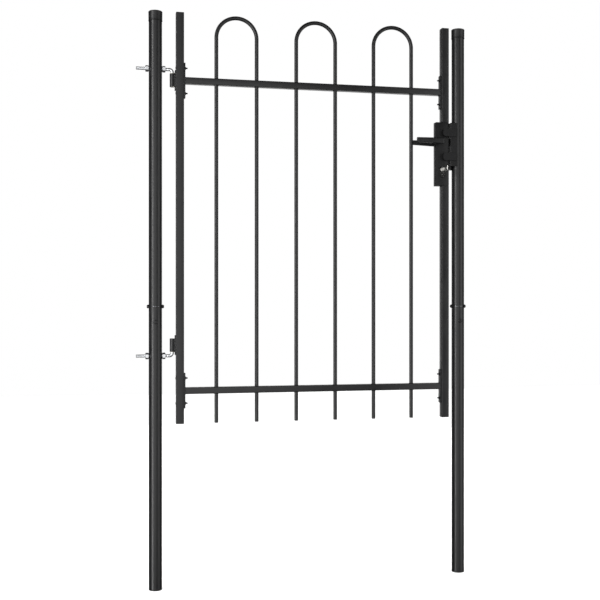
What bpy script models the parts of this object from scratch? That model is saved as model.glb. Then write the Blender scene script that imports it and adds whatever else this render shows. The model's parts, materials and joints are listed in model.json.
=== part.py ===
"""Garden gate: a steel leaf of three hoops between square stiles, hung on two round posts, with a lock.

Frame: origin midway between the two post axes at the post feet, X along the gate with the hinges at -X
and the lock at +X, the street side towards -Y, Z up.  All sizes are in metres.
"""
import math

import bmesh
import bpy
from mathutils import Matrix, Vector

# Overall sizes
POST_LENGTH = 1.750        # post with its cap, from foot to top
POST_DIAMETER = 0.040
POST_WALL = 0.002
LEAF_WIDTH = 0.872         # over both stiles
LEAF_HEIGHT = 1.250
LEAF_LIFT = 0.500          # post feet to the bottom of the leaf
HINGE_GAP = 0.0416         # hinge post to hinge stile
LATCH_GAP = 0.0144         # latch stile to latch post
FIT = 0.0003               # gap between pieces that touch

# Leaf
STILE = 0.024
STILE_WALL = 0.0015
TUBE_CORNER = 0.0012       # rounding of the square tubes' edges
RAIL = 0.020
RAIL_WALL = 0.0015
RAIL_FROM_BOTTOM = 0.100   # bottom rail axis above the foot of the leaf
RAIL_FROM_TOP = 0.206      # top rail axis below the top of the leaf
FLANGE_LENGTH = 0.108
FLANGE_THICK = 0.004
FLANGE_BOLT_PITCH = 0.0768
BOLT_HOLE = 0.0056
BOLT_SHANK = 0.005
BOLT_HEAD = 0.010
BOLT_HEAD_TALL = 0.0012
NUT_WIDE = 0.0092          # across corners
NUT_TALL = 0.0022
THREAD_END = 0.0070        # thread end past the flange
UPRIGHT_DIAMETER = 0.012
UPRIGHT_PITCH = 0.125
HOOPS = 3
ARC_STEPS = 14

# Posts
POST_JOINT = 0.8565        # height of the joint between the two halves of a post
JOINT_GAP = 0.0010
SLEEVE_LENGTH = 0.200
SLEEVE_WALL = 0.002
JOINT_BOLT = 0.008
JOINT_HEAD = 0.0118
JOINT_HEAD_TALL = 0.0056
SET_SCREW_DROP = 0.0465    # set screw below the joint
SET_SCREW = 0.006
SET_HEAD = 0.015
SET_HEAD_TALL = 0.0012
CAP_DIAMETER = POST_DIAMETER + 0.0025
CAP_SKIRT = 0.030
CAP_TOP = 0.003

# Hinges
EYE_DIAMETER = 0.016
EYE_LENGTH = 0.040
EYE_WELD = 0.0006          # how far the eye sinks into its plate
BUSH_WALL = 0.0010
PIN_DIAMETER = 0.010
PLATE_LENGTH = 0.060
PLATE_WIDE = 0.022
PLATE_THICK = 0.003
UPPER_EYE_DROP = 0.2063    # middle of the upper eye below the top of the leaf
LOWER_EYE_LIFT = 0.2393    # middle of the lower eye above the foot of the leaf
ROD_PAST_EYE = 0.0125      # from the end of an eye to the axis of its bolt
BEND_RADIUS = 0.009
ROD_TAIL = 0.038           # bolt end past the far side of the post
HINGE_NUT_WIDE = 0.0196    # across corners
HINGE_NUT_TALL = 0.0098

# Lock
LOCK_WIDE = 0.044          # from the latch edge of the leaf inwards
LOCK_TALL = 0.204
LOCK_DROP = 0.507          # foot of the lock box below the top of the leaf
LOCK_WALL = 0.002
SPINDLE_BACKSET = 0.0303   # latch edge to spindle axis
SPINDLE_LIFT = 0.1415      # these four are above the foot of the lock box
SPINDLE = 0.008
CYLINDER_BACKSET = 0.0236
CYLINDER_LIFT = 0.052
CYLINDER_PROUD = 0.009
CYLINDER_ROUND = 0.017
CYLINDER_LEG = 0.010
CYLINDER_TALL = 0.033
CYLINDER_SCREW = 0.005
PLUG_DIAMETER = 0.0125
CAM_REACH = 0.0145
FOREND_WIDE = STILE - 0.0044
FOREND_TALL = 0.160
FOREND_THICK = 0.003
LATCH_THICK = 0.011
LATCH_TALL = 0.022
LATCH_OUT = 0.0115
DEAD_THICK = 0.009
DEAD_TALL = 0.020
DEAD_LIFT = 0.0835
DEAD_LENGTH = 0.026
FOLLOWER = 0.015
ARM_REACH = 0.0172
ARM_THICK = 0.004
ARM_LEAN = 20              # degrees towards the latch at rest, half of the lever's turn
LATCH_BEHIND = 0.0147      # follower's edge to the back of the latch head, at rest
LEVER_REACH = 0.0836       # spindle axis to lever tip
LEVER_BACK = 0.0076        # spindle axis to the blunt end
LEVER_HUB_TALL = 0.0198
LEVER_TIP_TALL = 0.0150
LEVER_THICK = 0.009
LEVER_STAND = 0.0135       # lock face to the back of the lever
NECK = 0.014
KEY_THICK = 0.0022
KEY_BLADE = 0.0078
KEY_BURIED = 0.024
KEY_SHANK = 0.019
KEY_BOW = 0.021
KEY_BOW_LONG = 0.025

# Keeper on the latch post
KEEPER_TALL = 0.1485
KEEPER_LIFT = 0.054        # above the foot of the lock box
KEEPER_FRONT_LIFT = 0.0095
KEEPER_GAP = 0.0032        # latch edge to strike face
KEEPER_WALL = 0.003
KEEPER_DEEP = 0.037
SLOT_PLAY = 0.0012
LUG_TALL = 0.0245
LUG_PITCH = 0.077
LUG_LIFT = 0.1315          # middle between the lugs above the foot of the lock box
LUG_OVERLAP = 0.0229       # lug reaches this far in front of the leaf
LUG_THICK = 0.009
PAD_THICK = 0.0012

SIDES = 32                 # round tubes
ROD_SIDES = 14             # rods and small bores

POST_R = POST_DIAMETER / 2
SPACING = POST_DIAMETER + HINGE_GAP + LEAF_WIDTH + LATCH_GAP
HINGE_POST_X = -SPACING / 2
LATCH_POST_X = SPACING / 2
LEAF_LEFT = HINGE_POST_X + POST_R + HINGE_GAP
LEAF_RIGHT = LEAF_LEFT + LEAF_WIDTH
LEAF_TOP = LEAF_LIFT + LEAF_HEIGHT
UPPER_EYE = LEAF_TOP - UPPER_EYE_DROP
LOWER_EYE = LEAF_LIFT + LOWER_EYE_LIFT
LOCK_BOTTOM = LEAF_TOP - LOCK_DROP
SPINDLE_HEIGHT = LOCK_BOTTOM + SPINDLE_LIFT
CYLINDER_HEIGHT = LOCK_BOTTOM + CYLINDER_LIFT
DEAD_HEIGHT = LOCK_BOTTOM + DEAD_LIFT
KEEPER_BOTTOM = LOCK_BOTTOM + KEEPER_LIFT
LUG_MIDDLE = LOCK_BOTTOM + LUG_LIFT
LEFT_STILE_X = LEAF_LEFT + STILE / 2
RIGHT_STILE_X = LEAF_RIGHT - STILE / 2
LEAF_MIDDLE = (LEAF_LEFT + LEAF_RIGHT) / 2
AXIS_X = LEAF_LEFT - FIT - PLATE_THICK - EYE_DIAMETER / 2 + EYE_WELD
LOWER_RAIL_Z = LEAF_LIFT + RAIL_FROM_BOTTOM
UPPER_RAIL_Z = LEAF_TOP - RAIL_FROM_TOP
RAIL_HEIGHTS = {"bottom": LOWER_RAIL_Z, "top": UPPER_RAIL_Z}
UPRIGHT_XS = [LEAF_MIDDLE + UPRIGHT_PITCH * (i - HOOPS + 0.5) for i in range(2 * HOOPS)]
SPINDLE_X = LEAF_RIGHT - SPINDLE_BACKSET
CYLINDER_X = LEAF_RIGHT - CYLINDER_BACKSET
LOCK_LEFT = LEAF_RIGHT - LOCK_WIDE
LOCK_TOP = LOCK_BOTTOM + LOCK_TALL
LOCK_MIDDLE_Z = LOCK_BOTTOM + LOCK_TALL / 2
BOLT_SECTIONS = [(LATCH_THICK, LATCH_TALL, SPINDLE_HEIGHT), (DEAD_THICK, DEAD_TALL, DEAD_HEIGHT)]
FACE = STILE / 2           # half depth of the stiles and the lock box
LEVER_BACK_Y = FACE + LEVER_STAND
STRIKE_X = LEAF_RIGHT + KEEPER_GAP


def material(name, colour, rough, metal):
    """One plain shader for one finish."""
    finish = bpy.data.materials.new(name)
    finish.use_nodes = True
    shader = finish.node_tree.nodes["Principled BSDF"]
    shader.inputs["Base Color"].default_value = (*colour, 1.0)
    shader.inputs["Roughness"].default_value = rough
    shader.inputs["Metallic"].default_value = metal
    finish.diffuse_color = (*colour, 1.0)
    return finish


for old in list(bpy.data.objects):
    bpy.data.objects.remove(old, do_unlink=True)

BLACK = material("black_powder_coat", (0.035, 0.036, 0.037), 0.42, 0.0)
PLASTIC = material("black_plastic", (0.020, 0.020, 0.021), 0.50, 0.0)
ZINC = material("zinc_plate", (0.62, 0.63, 0.65), 0.32, 1.0)
NICKEL = material("nickel", (0.70, 0.69, 0.66), 0.22, 1.0)
NYLON = material("nylon", (0.60, 0.60, 0.57), 0.45, 0.0)
STEEL = material("bright_steel", (0.45, 0.45, 0.46), 0.38, 1.0)


# Shape helpers: each returns a bmesh in its own frame

def turned_to(shape, axis):
    """Turns a shape that was made along Z to lie along another axis."""
    if axis == "x":
        bmesh.ops.transform(shape, matrix=Matrix.Rotation(math.pi / 2, 4, "Y"), verts=shape.verts)
    elif axis == "y":
        bmesh.ops.transform(shape, matrix=Matrix.Rotation(-math.pi / 2, 4, "X"), verts=shape.verts)
    return shape


def moved(shape, by):
    """Shifts a shape."""
    bmesh.ops.translate(shape, vec=Vector(by), verts=shape.verts)
    return shape


def block(low, high, bevel=0.0, segments=2):
    """A box between two corners, with its edges rounded by bevel."""
    shape = bmesh.new()
    bmesh.ops.create_cube(shape, size=1.0)
    size = Vector(high) - Vector(low)
    bmesh.ops.scale(shape, vec=size, verts=shape.verts)
    moved(shape, (Vector(high) + Vector(low)) / 2)
    if bevel:
        edges = shape.edges[:]
        bmesh.ops.bevel(shape, geom=edges, offset=bevel, segments=segments, affect="EDGES", profile=0.5)
    return shape


def turned(profile, sides=SIDES, ring=False):
    """Turns (radius, height) points about Z; a ring closes on itself, otherwise both ends are on the axis."""
    shape = bmesh.new()
    rows = []
    for radius, height in profile:
        if radius == 0:
            rows.append([shape.verts.new((0, 0, height))] * sides)
            continue
        angles = [2 * math.pi * i / sides for i in range(sides)]
        rows.append([shape.verts.new((radius * math.cos(a), radius * math.sin(a), height)) for a in angles])
    pairs = list(zip(rows, rows[1:]))
    if ring:
        pairs.append((rows[-1], rows[0]))
    for lower, upper in pairs:
        for i in range(sides):
            j = (i + 1) % sides
            corners = [lower[i], lower[j], upper[j], upper[i]]
            shape.faces.new(list(dict.fromkeys(corners)))
    bmesh.ops.recalc_face_normals(shape, faces=shape.faces[:])
    return shape


def rod(radius, start, end, sides=ROD_SIDES):
    """A plain round bar along Z."""
    return turned([(0, start), (radius, start), (radius, end), (0, end)], sides)


def tube(outer, inner, start, end, sides=SIDES):
    """A round tube along Z, open at both ends."""
    return turned([(inner, start), (outer, start), (outer, end), (inner, end)], sides, ring=True)


def extrusion(outline, start, end):
    """An outline of (x, y) points, going round once, carried along Z."""
    shape = bmesh.new()
    bottom = shape.faces.new([shape.verts.new((x, y, start)) for x, y in outline])
    grown = bmesh.ops.extrude_face_region(shape, geom=[bottom])
    top = [part for part in grown["geom"] if isinstance(part, bmesh.types.BMVert)]
    bmesh.ops.translate(shape, vec=(0, 0, end - start), verts=top)
    bmesh.ops.recalc_face_normals(shape, faces=shape.faces[:])
    return shape


def arc(centre, radius, first, last, steps):
    """Points on an arc, angles in degrees, both ends included."""
    turn = math.radians(last - first) / steps
    start = math.radians(first)
    angles = [start + turn * i for i in range(steps + 1)]
    return [(centre[0] + radius * math.cos(a), centre[1] + radius * math.sin(a)) for a in angles]


def rounded(width, height, radius, steps=3):
    """The outline of a rectangle with rounded corners, centred."""
    x, y = width / 2 - radius, height / 2 - radius
    corners = [((x, y), 0), ((-x, y), 90), ((-x, -y), 180), ((x, -y), 270)]
    return [point for centre, turn in corners for point in arc(centre, radius, turn, turn + 90, steps)]


def lies_at(edge, height):
    """Whether both ends of an edge are at one height."""
    return all(abs(vertex.co.z - height) < 1e-6 for vertex in edge.verts)


def square_tube(side, wall, start, end, corner=TUBE_CORNER):
    """A square tube along Z with slightly rounded edges, open at both ends."""
    shape = extrusion(rounded(side, side, corner, 2), start, end)
    ends = [face for face in shape.faces if abs(face.normal.z) > 0.9]
    bmesh.ops.delete(shape, geom=ends, context="FACES_ONLY")
    outer_edges = [edge for edge in shape.edges if edge.is_boundary]
    half = side / 2 - wall
    corners = [(half, half), (-half, half), (-half, -half), (half, -half)]
    inner = [[shape.verts.new((x, y, z)) for x, y in corners] for z in (start, end)]
    for i in range(4):
        j = (i + 1) % 4
        shape.faces.new([inner[0][j], inner[0][i], inner[1][i], inner[1][j]])
    inner_edges = [edge for edge in shape.edges if edge.is_boundary and edge not in outer_edges]
    for height in (start, end):
        rims = [edge for edge in outer_edges + inner_edges if lies_at(edge, height)]
        bmesh.ops.bridge_loops(shape, edges=rims)
    bmesh.ops.recalc_face_normals(shape, faces=shape.faces[:])
    return shape


def joined(*shapes):
    """Several separate shapes as one mesh, for cutters."""
    whole = bmesh.new()
    for shape in shapes:
        part = bpy.data.meshes.new("part")
        shape.to_mesh(part)
        shape.free()
        whole.from_mesh(part)
        bpy.data.meshes.remove(part)
    return whole


# Object helpers

def origin_of(parent):
    """World position of an empty, added up along its parents."""
    place = Vector()
    while parent:
        place += parent.location
        parent = parent.parent
    return place


def pivot(name, at, parent=None):
    """An empty on a joint's axis, for the pieces that move with it."""
    empty = bpy.data.objects.new(name, None)
    bpy.context.scene.collection.objects.link(empty)
    empty.parent = parent
    empty.location = Vector(at) - origin_of(parent)
    return empty


def piece(name, shape, finish, at=(0, 0, 0), parent=None, smooth=True):
    """A named object from a shape, with round surfaces shaded smooth."""
    mesh = bpy.data.meshes.new(name)
    shape.to_mesh(mesh)
    shape.free()
    mesh.materials.append(finish)
    if smooth:
        mesh.shade_smooth()
        mesh.set_sharp_from_angle(angle=math.radians(32))
    obj = bpy.data.objects.new(name, mesh)
    bpy.context.scene.collection.objects.link(obj)
    obj.parent = parent
    obj.location = Vector(at) - origin_of(parent)
    return obj


def combine(obj, shape, operation):
    """Adds a Boolean with a helper body that stays out of the model."""
    helper = piece(obj.name + "_" + operation.lower(), shape, BLACK, smooth=False)
    helper.parent = obj.parent
    helper.location = obj.location
    helper.hide_render = True
    helper.display_type = "WIRE"
    boolean = obj.modifiers.new(operation.title(), "BOOLEAN")
    boolean.operation = operation
    boolean.solver = "EXACT"
    boolean.object = helper
    return obj


def cut(obj, shape):
    """Takes a shape, in the object's own frame, away from it."""
    return combine(obj, shape, "DIFFERENCE")


def weld(obj, shape):
    """Joins a shape, in the object's own frame, to it."""
    return combine(obj, shape, "UNION")


def bent_rod(name, points, radius, finish, parent=None):
    """A round bar along a bent line, as a bevelled curve with closed ends."""
    curve = bpy.data.curves.new(name, "CURVE")
    curve.dimensions = "3D"
    curve.bevel_depth = radius
    curve.bevel_resolution = ROD_SIDES // 2 - 2
    curve.use_fill_caps = True
    line = curve.splines.new("POLY")
    line.points.add(len(points) - 1)
    at = origin_of(parent)
    for spot, place in zip(line.points, points):
        spot.co = (*(Vector(place) - at), 1.0)
    curve.materials.append(finish)
    obj = bpy.data.objects.new(name, curve)
    bpy.context.scene.collection.objects.link(obj)
    obj.parent = parent
    return obj


GATE = pivot("gate_pivot", (AXIS_X, 0, 0))
HANDLE = pivot("handle_pivot", (SPINDLE_X, 0, SPINDLE_HEIGHT), GATE)
PLUG = pivot("plug_pivot", (CYLINDER_X, 0, CYLINDER_HEIGHT), GATE)


# Posts

def post(side, x, rods):
    """Two tubes on an inner sleeve, a joint bolt, a set screw and a cap; rods are hinge bolt heights."""
    upper_start = POST_JOINT + JOINT_GAP / 2
    upper_end = POST_LENGTH - CAP_TOP - FIT
    bore = POST_R - POST_WALL
    notch = JOINT_BOLT / 2 + FIT
    lower = piece(side + "_post_lower", tube(POST_R, bore, 0, POST_JOINT - JOINT_GAP / 2), BLACK, (x, 0, 0))
    upper = piece(side + "_post_upper", tube(POST_R, bore, upper_start, upper_end), BLACK, (x, 0, 0))
    sleeve_r = bore - FIT
    low, high = POST_JOINT - SLEEVE_LENGTH / 2, POST_JOINT + SLEEVE_LENGTH / 2
    inner_tube = tube(sleeve_r, sleeve_r - SLEEVE_WALL, low, high)
    sleeve = piece(side + "_post_sleeve", inner_tube, STEEL, (x, 0, 0))
    for part in (lower, upper, sleeve):
        across = turned_to(rod(notch, -POST_DIAMETER, POST_DIAMETER), "x")
        screw = turned_to(rod(SET_SCREW / 2 + FIT, -POST_DIAMETER, 0), "y")
        holes = [moved(across, (0, 0, POST_JOINT)), moved(screw, (0, 0, POST_JOINT - SET_SCREW_DROP))]
        for height in rods:
            bore_shape = turned_to(rod(PIN_DIAMETER / 2 + FIT, -POST_DIAMETER, POST_DIAMETER), "x")
            holes.append(moved(bore_shape, (0, 0, height)))
        keep = [hole for hole in holes if touches(hole, part)]
        cut(part, joined(*keep))
    reach = POST_R + FIT
    head, shank = JOINT_HEAD / 2, JOINT_BOLT / 2
    dome = [(head, reach), (head, reach + JOINT_HEAD_TALL * 0.55), (head * 0.72, reach + JOINT_HEAD_TALL)]
    profile = [(0, -reach - JOINT_HEAD_TALL)] + [(r, -z) for r, z in reversed(dome)]
    profile += [(shank, -reach), (shank, reach)] + dome + [(0, reach + JOINT_HEAD_TALL)]
    bolt = turned_to(turned(profile, ROD_SIDES), "x")
    piece(side + "_post_joint_bolt", moved(bolt, (0, 0, POST_JOINT)), PLASTIC, (x, 0, 0))
    screw = set_screw()
    piece(side + "_post_set_screw", screw, PLASTIC, (x, -POST_R, POST_JOINT - SET_SCREW_DROP))
    cap_r, rim = CAP_DIAMETER / 2, 0.0022
    foot, top = POST_LENGTH - CAP_SKIRT, POST_LENGTH
    inside = POST_R + FIT
    profile = [(0, top - CAP_TOP), (inside, top - CAP_TOP), (inside, foot), (inside + 0.0005, foot)]
    profile += [(cap_r, foot + rim), (cap_r, top - 0.002), (cap_r - 0.0006, top - 0.0006)]
    profile += [(cap_r - 0.002, top), (0, top)]
    piece(side + "_post_cap", turned(profile), PLASTIC, (x, 0, 0))


def touches(shape, part):
    """Whether a shape's height range meets the part's."""
    heights = [vertex.co.z for vertex in part.data.vertices]
    reach = [vertex.co.z for vertex in shape.verts]
    return min(reach) < max(heights) and max(reach) > min(heights)


def set_screw():
    """A low round-head screw facing the street, with a hexagon socket, seated on the post wall."""
    head, shank = SET_HEAD / 2, SET_SCREW / 2
    wall = POST_WALL + SLEEVE_WALL + FIT
    profile = [(0, -wall - 0.002), (shank, -wall - 0.002), (shank, FIT), (head, FIT)]
    profile += [(head, FIT + SET_HEAD_TALL * 0.5), (head * 0.8, FIT + SET_HEAD_TALL)]
    socket = 0.0022
    deep = FIT + SET_HEAD_TALL - 0.0025
    profile += [(socket, FIT + SET_HEAD_TALL), (socket, deep), (0, deep)]
    shape = turned_to(turned(profile, 24), "y")
    bmesh.ops.scale(shape, vec=(1, -1, 1), verts=shape.verts)
    bmesh.ops.reverse_faces(shape, faces=shape.faces[:])
    return shape


def hinge(place, height, turn):
    """An L-shaped bolt with two nuts on the post, and an eye on the leaf; turn is the way its pin points."""
    rod_z = height - turn * (EYE_LENGTH / 2 + ROD_PAST_EYE)
    corner = (AXIS_X - BEND_RADIUS, rod_z + turn * BEND_RADIUS)
    bend = arc(corner, BEND_RADIUS, -90 * turn, 0, 6)
    pin_end = height + turn * EYE_LENGTH * 0.42
    tail = HINGE_POST_X - ROD_TAIL - POST_R
    route = [(tail, 0, rod_z)] + [(x, 0, z) for x, z in bend] + [(AXIS_X, 0, pin_end)]
    bent_rod(place + "_hinge_bolt", route, PIN_DIAMETER / 2, ZINC)
    for side, name in ((-1, "outer"), (1, "inner")):
        nut = hex_nut(HINGE_NUT_WIDE, HINGE_NUT_TALL)
        if side < 0:
            bmesh.ops.rotate(nut, matrix=Matrix.Rotation(math.pi, 3, "Y"), verts=nut.verts)
        at = (HINGE_POST_X + side * (POST_R + FIT), 0, rod_z)
        obj = piece(place + "_hinge_nut_" + name, nut, ZINC, at)
        cut(obj, turned_to(rod(PIN_DIAMETER / 2 + FIT, -0.02, 0.02, 16), "x"))
    eye_r = EYE_DIAMETER / 2
    pin_r = PIN_DIAMETER / 2
    bore = pin_r + FIT + BUSH_WALL + FIT
    half = PLATE_WIDE / 2
    plate_x = AXIS_X + eye_r - EYE_WELD
    low = (plate_x, -half, height - PLATE_LENGTH / 2)
    high = (plate_x + PLATE_THICK, half, height + PLATE_LENGTH / 2)
    axis = Vector((AXIS_X, 0, 0))
    plate = block(Vector(low) - axis, Vector(high) - axis, 0.0007, 1)
    eye = piece(place + "_hinge_eye", plate, BLACK, (AXIS_X, 0, 0), GATE)
    ends = (height - EYE_LENGTH / 2, height + EYE_LENGTH / 2)
    weld(eye, turned([(0, ends[0]), (eye_r, ends[0]), (eye_r, ends[1]), (0, ends[1])], 24))
    cut(eye, rod(bore, ends[0] - 0.002, ends[1] + 0.002, 20))
    collar = height - turn * (EYE_LENGTH / 2 + FIT)
    lip = collar - turn * 0.0015
    far = height + turn * (EYE_LENGTH / 2 - 0.001)
    inner, outer = pin_r + FIT, bore - FIT
    collar_r = eye_r - EYE_WELD - FIT
    profile = [(inner, lip), (collar_r, lip), (collar_r, collar), (outer, collar), (outer, far)]
    profile.append((inner, far))
    piece(place + "_hinge_bush", turned(profile, 20, ring=True), NYLON, (AXIS_X, 0, 0), GATE)


def hex_nut(across, tall):
    """A hexagon nut along X without its hole, standing on its seat, with the outer corners turned off."""
    nut = extrusion(arc((0, 0), across / 2, 0, 300, 5), 0, tall)
    top = [edge for edge in nut.edges if all(v.co.z > tall - 1e-6 for v in edge.verts)]
    bmesh.ops.bevel(nut, geom=top, offset=across * 0.045, segments=1, affect="EDGES")
    return turned_to(nut, "x")


# Leaf

def rail(place, height):
    """A square rail with a bolting flange at each end; its uprights and bolts pass through it."""
    low, high = LEAF_LEFT + STILE + FIT, LEAF_RIGHT - STILE - FIT
    length = high - low
    middle = (low + high) / 2
    bar_end = length / 2 - FLANGE_THICK / 2
    body = turned_to(extrusion(rounded(RAIL, RAIL, TUBE_CORNER, 2), -bar_end, bar_end), "x")
    obj = piece(place + "_rail", body, BLACK, (middle, 0, height), GATE)
    outline = rounded(FLANGE_LENGTH, RAIL, 0.004, 2)
    starts = (-length / 2, length / 2 - FLANGE_THICK)
    flanges = [turned_to(extrusion(outline, start, start + FLANGE_THICK), "x") for start in starts]
    weld(obj, joined(*flanges))
    half = RAIL / 2 - RAIL_WALL
    inside = length / 2 - FLANGE_THICK
    holes = [moved(rod(UPRIGHT_DIAMETER / 2 + FIT, -RAIL, RAIL), (x - middle, 0, 0)) for x in UPRIGHT_XS]
    for side in (-1, 1):
        for up in (-1, 1):
            bolt = turned_to(rod(BOLT_HOLE / 2, -FLANGE_THICK * 2, FLANGE_THICK * 2, 12), "x")
            holes.append(moved(bolt, (side * length / 2, 0, up * FLANGE_BOLT_PITCH / 2)))
    cut(obj, block((-inside, -half, -half), (inside, half, half)))
    cut(obj, joined(*holes))


def bolt_heights():
    """Heights of the bolts that hold the rails on each stile."""
    return [z + up * FLANGE_BOLT_PITCH / 2 for z in RAIL_HEIGHTS.values() for up in (-1, 1)]


def stile(name, x, start, end):
    """A square stile with the holes of the bolts that cross it."""
    obj = piece(name, square_tube(STILE, STILE_WALL, start, end), BLACK, (x, 0, 0), GATE)
    crossing = [height for height in bolt_heights() if start < height < end]
    holes = [moved(turned_to(rod(BOLT_HOLE / 2, -STILE, STILE, 12), "x"), (0, 0, z)) for z in crossing]
    cut(obj, joined(*holes))


def flange_bolt(name, face_x, way, height):
    """A bolt with its nut, from a low head on the outer face of a stile through the rail's flange."""
    head, shank = BOLT_HEAD / 2, BOLT_SHANK / 2
    seat = STILE + FIT + FLANGE_THICK + FIT
    top = -FIT - BOLT_HEAD_TALL
    profile = [(0, top), (head * 0.7, top), (head, -FIT - BOLT_HEAD_TALL * 0.4)]
    profile += [(head, -FIT), (shank, -FIT), (shank, seat + THREAD_END - 0.0005)]
    profile += [(shank - 0.0006, seat + THREAD_END), (0, seat + THREAD_END)]
    bolt = turned_to(turned(profile, 12), "x")
    obj = piece(name, bolt, PLASTIC, (face_x, 0, height), GATE)
    nut = extrusion(arc((0, 0), NUT_WIDE / 2, 0, 300, 5), seat, seat + NUT_TALL)
    weld(obj, turned_to(nut, "x"))
    if way < 0:
        obj.rotation_euler.z = math.pi
        obj.modifiers[0].object.rotation_euler.z = math.pi


def hoop(number, left, right):
    """Two uprights and the half circle that joins them, bent from one bar."""
    radius = (right - left) / 2
    middle = (left + right) / 2
    centre = (middle, LEAF_TOP - UPRIGHT_DIAMETER / 2 - radius)
    over = arc(centre, radius, 180, 0, ARC_STEPS)
    route = [(left, 0, LEAF_LIFT)] + [(x, 0, z) for x, z in over] + [(right, 0, LEAF_LIFT)]
    bent_rod("hoop_%d" % number, route, UPRIGHT_DIAMETER / 2, BLACK, GATE)


def stile_plug(name, x):
    """A plastic plug in the open top of a stile, with a thin lid over the walls."""
    inner = STILE / 2 - STILE_WALL - FIT
    lid = extrusion(rounded(STILE, STILE, 0.002, 2), LEAF_TOP - 0.002, LEAF_TOP)
    obj = piece(name, lid, PLASTIC, (x, 0, 0), GATE)
    weld(obj, block((-inner, -inner, LEAF_TOP - 0.016), (inner, inner, LEAF_TOP - 0.001)))


# Lock

def euro_outline(grow=0.0):
    """The keyhole-shaped section of the cylinder about its plug's axis, in (x, z), grown by a clearance."""
    radius = CYLINDER_ROUND / 2 + grow
    half = CYLINDER_LEG / 2 + grow
    foot = CYLINDER_ROUND / 2 - CYLINDER_TALL - grow
    turn = math.degrees(math.asin(half / radius))
    round_part = arc((0, 0), radius, -90 + turn, 270 - turn, 18)
    chamfer = half * 0.4
    leg = [(-half, foot + chamfer), (chamfer - half, foot), (half - chamfer, foot), (half, foot + chamfer)]
    return round_part + leg


def along_street(outline, start, end):
    """An (x, z) outline carried along Y."""
    shape = extrusion([(x, -z) for x, z in outline], start, end)
    return turned_to(shape, "y")


def lock_box():
    """The welded housing in line with the latch stile, open at the latch edge for the lock."""
    low = (LOCK_LEFT, -FACE, LOCK_BOTTOM)
    high = (LEAF_RIGHT, FACE, LOCK_TOP)
    obj = piece("lock_box", block(low, high, 0.0015), BLACK, parent=GATE)
    inner_low = (LOCK_LEFT + LOCK_WALL, -FACE + LOCK_WALL, LOCK_BOTTOM + LOCK_WALL)
    inner_high = (LEAF_RIGHT - LOCK_WALL, FACE - LOCK_WALL, LOCK_TOP - LOCK_WALL)
    cut(obj, block(inner_low, inner_high))
    wide, tall = FOREND_WIDE / 2 + FIT, FOREND_TALL / 2 + FIT
    mouth_low = (LEAF_RIGHT - LOCK_WALL * 2, -wide, LOCK_MIDDLE_Z - tall)
    mouth = block(mouth_low, (LEAF_RIGHT + LOCK_WALL, wide, LOCK_MIDDLE_Z + tall))
    neck = moved(turned_to(rod(NECK / 2 + FIT, -STILE, STILE, 24), "y"), (SPINDLE_X, 0, SPINDLE_HEIGHT))
    cylinder = moved(along_street(euro_outline(FIT), -STILE, STILE), (CYLINDER_X, 0, CYLINDER_HEIGHT))
    cut(obj, mouth)
    cut(obj, joined(neck, cylinder))


def lock_chassis():
    """The lock's forend with its back plate, cleared for the bolts, the follower and the cylinder."""
    wide, tall = FOREND_WIDE / 2, FOREND_TALL / 2
    front = LEAF_RIGHT - FOREND_THICK
    plate = block((front, -wide, LOCK_MIDDLE_Z - tall), (LEAF_RIGHT, wide, LOCK_MIDDLE_Z + tall), 0.0006, 1)
    obj = piece("lock_chassis", plate, STEEL, parent=GATE)
    back = FACE - LOCK_WALL - 0.0004
    low = (LOCK_LEFT + LOCK_WALL + 0.001, back - 0.0015, LOCK_MIDDLE_Z - tall + 0.006)
    weld(obj, block(low, (front + 0.001, back, LOCK_MIDDLE_Z + tall - 0.006)))
    slots = []
    for thick, high, z in BOLT_SECTIONS:
        y, half = thick / 2 + FIT, high / 2 + FIT
        slots.append(block((front - 0.004, -y, z - half), (LEAF_RIGHT + 0.004, y, z + half)))
    neck = moved(turned_to(rod(FOLLOWER / 2 + FIT, 0, STILE, 20), "y"), (SPINDLE_X, 0, SPINDLE_HEIGHT))
    cylinder = moved(along_street(euro_outline(FIT), 0, STILE), (CYLINDER_X, 0, CYLINDER_HEIGHT))
    screw = turned_to(rod(CYLINDER_SCREW / 2 + FIT, -0.01, 0.01, 12), "x")
    moved(screw, (LEAF_RIGHT, 0, cylinder_screw_height()))
    cut(obj, joined(*slots, neck, cylinder, screw))


def cylinder_screw_height():
    """The fixing screw crosses the bridge at the foot of the cylinder."""
    return CYLINDER_HEIGHT + CYLINDER_ROUND / 2 - CYLINDER_TALL + 0.0042


def cylinder():
    """The profile cylinder: a body with a bore and a window for the cam, and the screw that holds it."""
    half = FACE + CYLINDER_PROUD
    at = (CYLINDER_X, 0, CYLINDER_HEIGHT)
    obj = piece("cylinder_body", along_street(euro_outline(), -half, half), NICKEL, at, GATE)
    bridge = cylinder_screw_height() - CYLINDER_HEIGHT + 0.0040
    window = block((-0.012, -0.0046, bridge), (0.012, 0.0046, 0.012))
    bore = turned_to(rod(PLUG_DIAMETER / 2 + FIT, -half - 0.001, half + 0.001, 24), "y")
    cut(obj, bore)
    cut(obj, window)
    reach = LEAF_RIGHT - CYLINDER_X
    hole = turned_to(rod(CYLINDER_SCREW / 2 + FIT, -0.004, 0.02, 12), "x")
    cut(obj, moved(hole, (0, 0, cylinder_screw_height() - CYLINDER_HEIGHT)))
    shank, head = CYLINDER_SCREW / 2, CYLINDER_SCREW * 0.84
    profile = [(0, -0.0035), (shank, -0.0035), (shank, reach + FIT), (head, reach + FIT)]
    profile += [(head, reach + 0.0010), (head - 0.0014, reach + 0.0018), (0, reach + 0.0018)]
    screw = turned_to(turned(profile, 12), "x")
    piece("cylinder_screw", screw, ZINC, (CYLINDER_X, 0, cylinder_screw_height()), GATE)


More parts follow.
